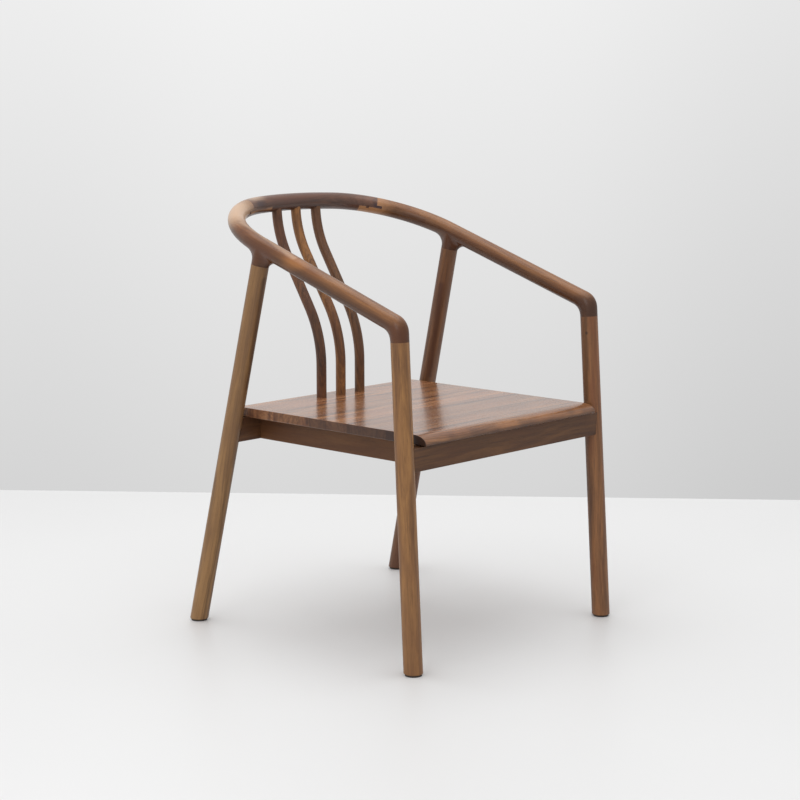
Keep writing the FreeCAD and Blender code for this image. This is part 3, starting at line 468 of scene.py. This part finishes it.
FLOOR_CORNERS = ((-4, -7), (-4, 7), (4.57, 7), (5.43, -7))


def floor_paint():
    """Two pale tones in wide patches."""
    tree = Tree(bpy.data.materials.new("floor_paint"))
    patch = tree.ramp(tree.noise(tree.place, 0.6, detail=2.0), 0.3, 0.7)
    colour = tree.lay(linear(228, 228, 228), linear(231, 231, 231), patch)
    return tree.show(tree.add("BsdfPrincipled", {"Base Color": colour, "Roughness": 0.45}))


def stage_plane(name, corners, material):
    """A flat surface that isn't part of the chair."""
    mesh = bpy.data.meshes.new(name)
    mesh.from_pydata(corners, [], [range(len(corners))])
    mesh.materials.append(material)
    obj = bpy.data.objects.new(name, mesh)
    bpy.context.scene.collection.objects.link(obj)


stage_plane("floor", [stage_point(ahead, right, 0) for ahead, right in FLOOR_CORNERS], floor_paint())


# Camera

camera = bpy.data.objects.new("camera", bpy.data.cameras.new("camera"))
camera.data.sensor_width = 36
camera.data.lens = 89.15
camera.data.clip_end = 60
camera.location = CAMERA_PLACE
camera.rotation_euler = (CAMERA_TILT, 0, CAMERA_TURN)
bpy.context.scene.collection.objects.link(camera)
bpy.context.scene.camera = camera


# Lamps

def lamp(name, place, target, size, power):
    """A soft lamp that points at its target."""
    light = bpy.data.lights.new(name, "AREA")
    light.shape = "RECTANGLE"
    light.size, light.size_y = size
    light.energy = power
    obj = bpy.data.objects.new(name, light)
    obj.location = place
    obj.rotation_euler = (Vector(target) - place).to_track_quat("-Z", "Y").to_euler()
    bpy.context.scene.collection.objects.link(obj)


lamp("overhead", stage_point(3.9, 0.1, 3.2), target=(0, 0, 0.3), size=(3.0, 2.6), power=34)
lamp("front_left", stage_point(0.8, -1.6, 2.4), target=(0, 0, 0.4), size=(1.8, 1.8), power=15)


# World. It lights the chair, a little more from the left and from above, and shows a pale wall
# behind the floor's far edge and an even tone elsewhere

LIT_LEVEL = 0.81
LIT_GAIN = 0.95
LIT_FROM = -0.20 * SIDEWAYS + 0.12 * UP
WALL_LEVEL = 0.71
ELSEWHERE_LEVEL = 0.80


def wall_level(sky):
    """A wall that gets lighter upwards, darker to both sides and from left to right, and is as
    pale as the floor below its foot."""
    height = sky.axes(sky.heading)["Z"]
    right = sky.vector("DOT_PRODUCT", sky.heading, SIDEWAYS)
    rise = sky.ramp(height, -0.21, 0.04, "LINEAR")
    foot = sky.ramp(height, -0.23, -0.30)
    sides = sky.ramp(sky.math("ABSOLUTE", right), 0.06, 0.20)
    tilt = sky.ramp(right, -0.20, 0.20, "LINEAR")
    return sky.total(WALL_LEVEL, (rise, 0.195), (foot, 0.14), (sides, -0.055), (tilt, -0.06))


def studio():
    """The world. The camera and reflections see the wall, and all else gets the light."""
    sky = Tree(bpy.data.worlds.new("studio"))
    lit = sky.math("ADD", sky.vector("DOT_PRODUCT", sky.heading, LIT_FROM), LIT_LEVEL)
    ahead = sky.ramp(sky.vector("DOT_PRODUCT", sky.heading, AHEAD), 0.88, 0.955)
    shown = sky.between(ahead, ELSEWHERE_LEVEL, wall_level(sky))
    rays = sky.add("LightPath").outputs
    seen = sky.math("MAXIMUM", rays["Is Camera Ray"], rays["Is Glossy Ray"])
    seen = sky.math("MAXIMUM", seen, rays["Is Transmission Ray"])
    level = sky.between(seen, sky.product(lit, LIT_GAIN), shown)
    backdrop = sky.add("Background", {"Color": (1.0, 1.0, 1.0, 1.0), "Strength": level})
    return sky.show(backdrop, "OutputWorld")


bpy.context.scene.world = studio()
bpy.context.scene.view_settings.view_transform = "Standard"
